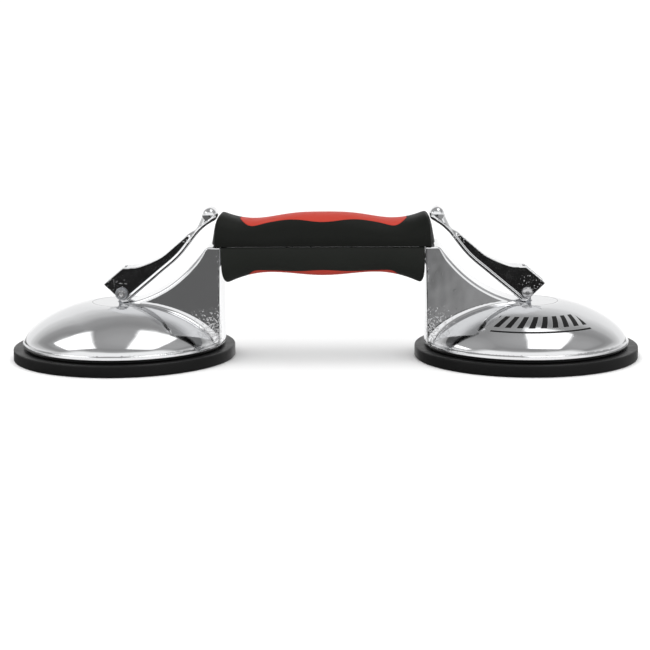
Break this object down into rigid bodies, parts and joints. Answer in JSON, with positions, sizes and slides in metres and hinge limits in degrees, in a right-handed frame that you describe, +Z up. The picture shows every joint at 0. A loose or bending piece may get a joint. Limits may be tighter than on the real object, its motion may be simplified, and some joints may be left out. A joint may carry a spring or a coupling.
{
  "type": "double vacuum suction lifter",
  "caption": "Hand-held suction lifter: twin rubber cups under cast chrome domes, cam levers that lift each cup's plate, and a two-shell soft grip with red insets.",
  "frame": {"origin": "on the base plane that both cups stand on, under the middle of the grip", "axes": "+X along the grip towards the right cup, +Y away from the side that shows the left pin's retainer, +Z up"},
  "size_m": [0.3374, 0.12, 0.081],
  "materials": {
    "chrome": "bright chrome plating over a fine casting, light pits near the arm's foot",
    "steel": "zinc-plated, semi-bright",
    "spring_steel": "drawn wire, oiled",
    "aluminium": "as extruded, milled ends",
    "rubber": "moulded, matt",
    "black_grip": "soft-touch, fine satin grain",
    "red_insert": "soft-touch, satin"
  },
  "bodies": {
    "root": {"left_rubber_pad": "rubber", "left_housing": "chrome", "left_bar_screw_a": "steel", "left_bar_screw_b": "steel", "left_grip_screw": "steel", "left_return_spring": "spring_steel", "right_rubber_pad": "rubber", "right_housing": "chrome", "right_bar_screw_a": "steel", "right_bar_screw_b": "steel", "right_grip_screw": "steel", "right_return_spring": "spring_steel", "handle_bar": "aluminium", "upper_grip": "black_grip", "lower_grip": "black_grip", "upper_red_insert": "red_insert", "lower_red_insert": "red_insert"},
    "left_lift": {"left_pull_plate": "steel", "left_pull_stem": "steel", "left_stem_nut": "steel", "left_pivot_pin": "steel", "left_pin_retainer": "steel"},
    "left_lever_body": {"left_lever": "chrome"},
    "right_lift": {"right_pull_plate": "steel", "right_pull_stem": "steel", "right_stem_nut": "steel", "right_pivot_pin": "steel", "right_pin_retainer": "steel"},
    "right_lever_body": {"right_lever": "chrome"}
  },
  "joints": [
    {"name": "left_lift_slide", "type": "slide", "parent": "root", "child": "left_lift", "axis": [0, 0, 1], "range_m": [0, 0.00685], "deforming": ["left_return_spring"]},
    {"name": "left_lever_turn", "type": "hinge", "parent": "left_lift", "child": "left_lever_body", "pos_m": [-0.1087, 0, 0.0351], "axis": [0, -1, 0], "range_deg": [0, 140]},
    {"name": "right_lift_slide", "type": "slide", "parent": "root", "child": "right_lift", "axis": [0, 0, 1], "range_m": [0, 0.00685], "deforming": ["right_return_spring"]},
    {"name": "right_lever_turn", "type": "hinge", "parent": "right_lift", "child": "right_lever_body", "pos_m": [0.1087, 0, 0.0351], "axis": [0, 1, 0], "range_deg": [0, 140]}
  ],
  "couplings": [
    {"joint": "left_lift_slide", "follows": "left_lever_turn", "m_per_rad": 0.0028},
    {"joint": "right_lift_slide", "follows": "right_lever_turn", "m_per_rad": 0.0028}
  ]
}
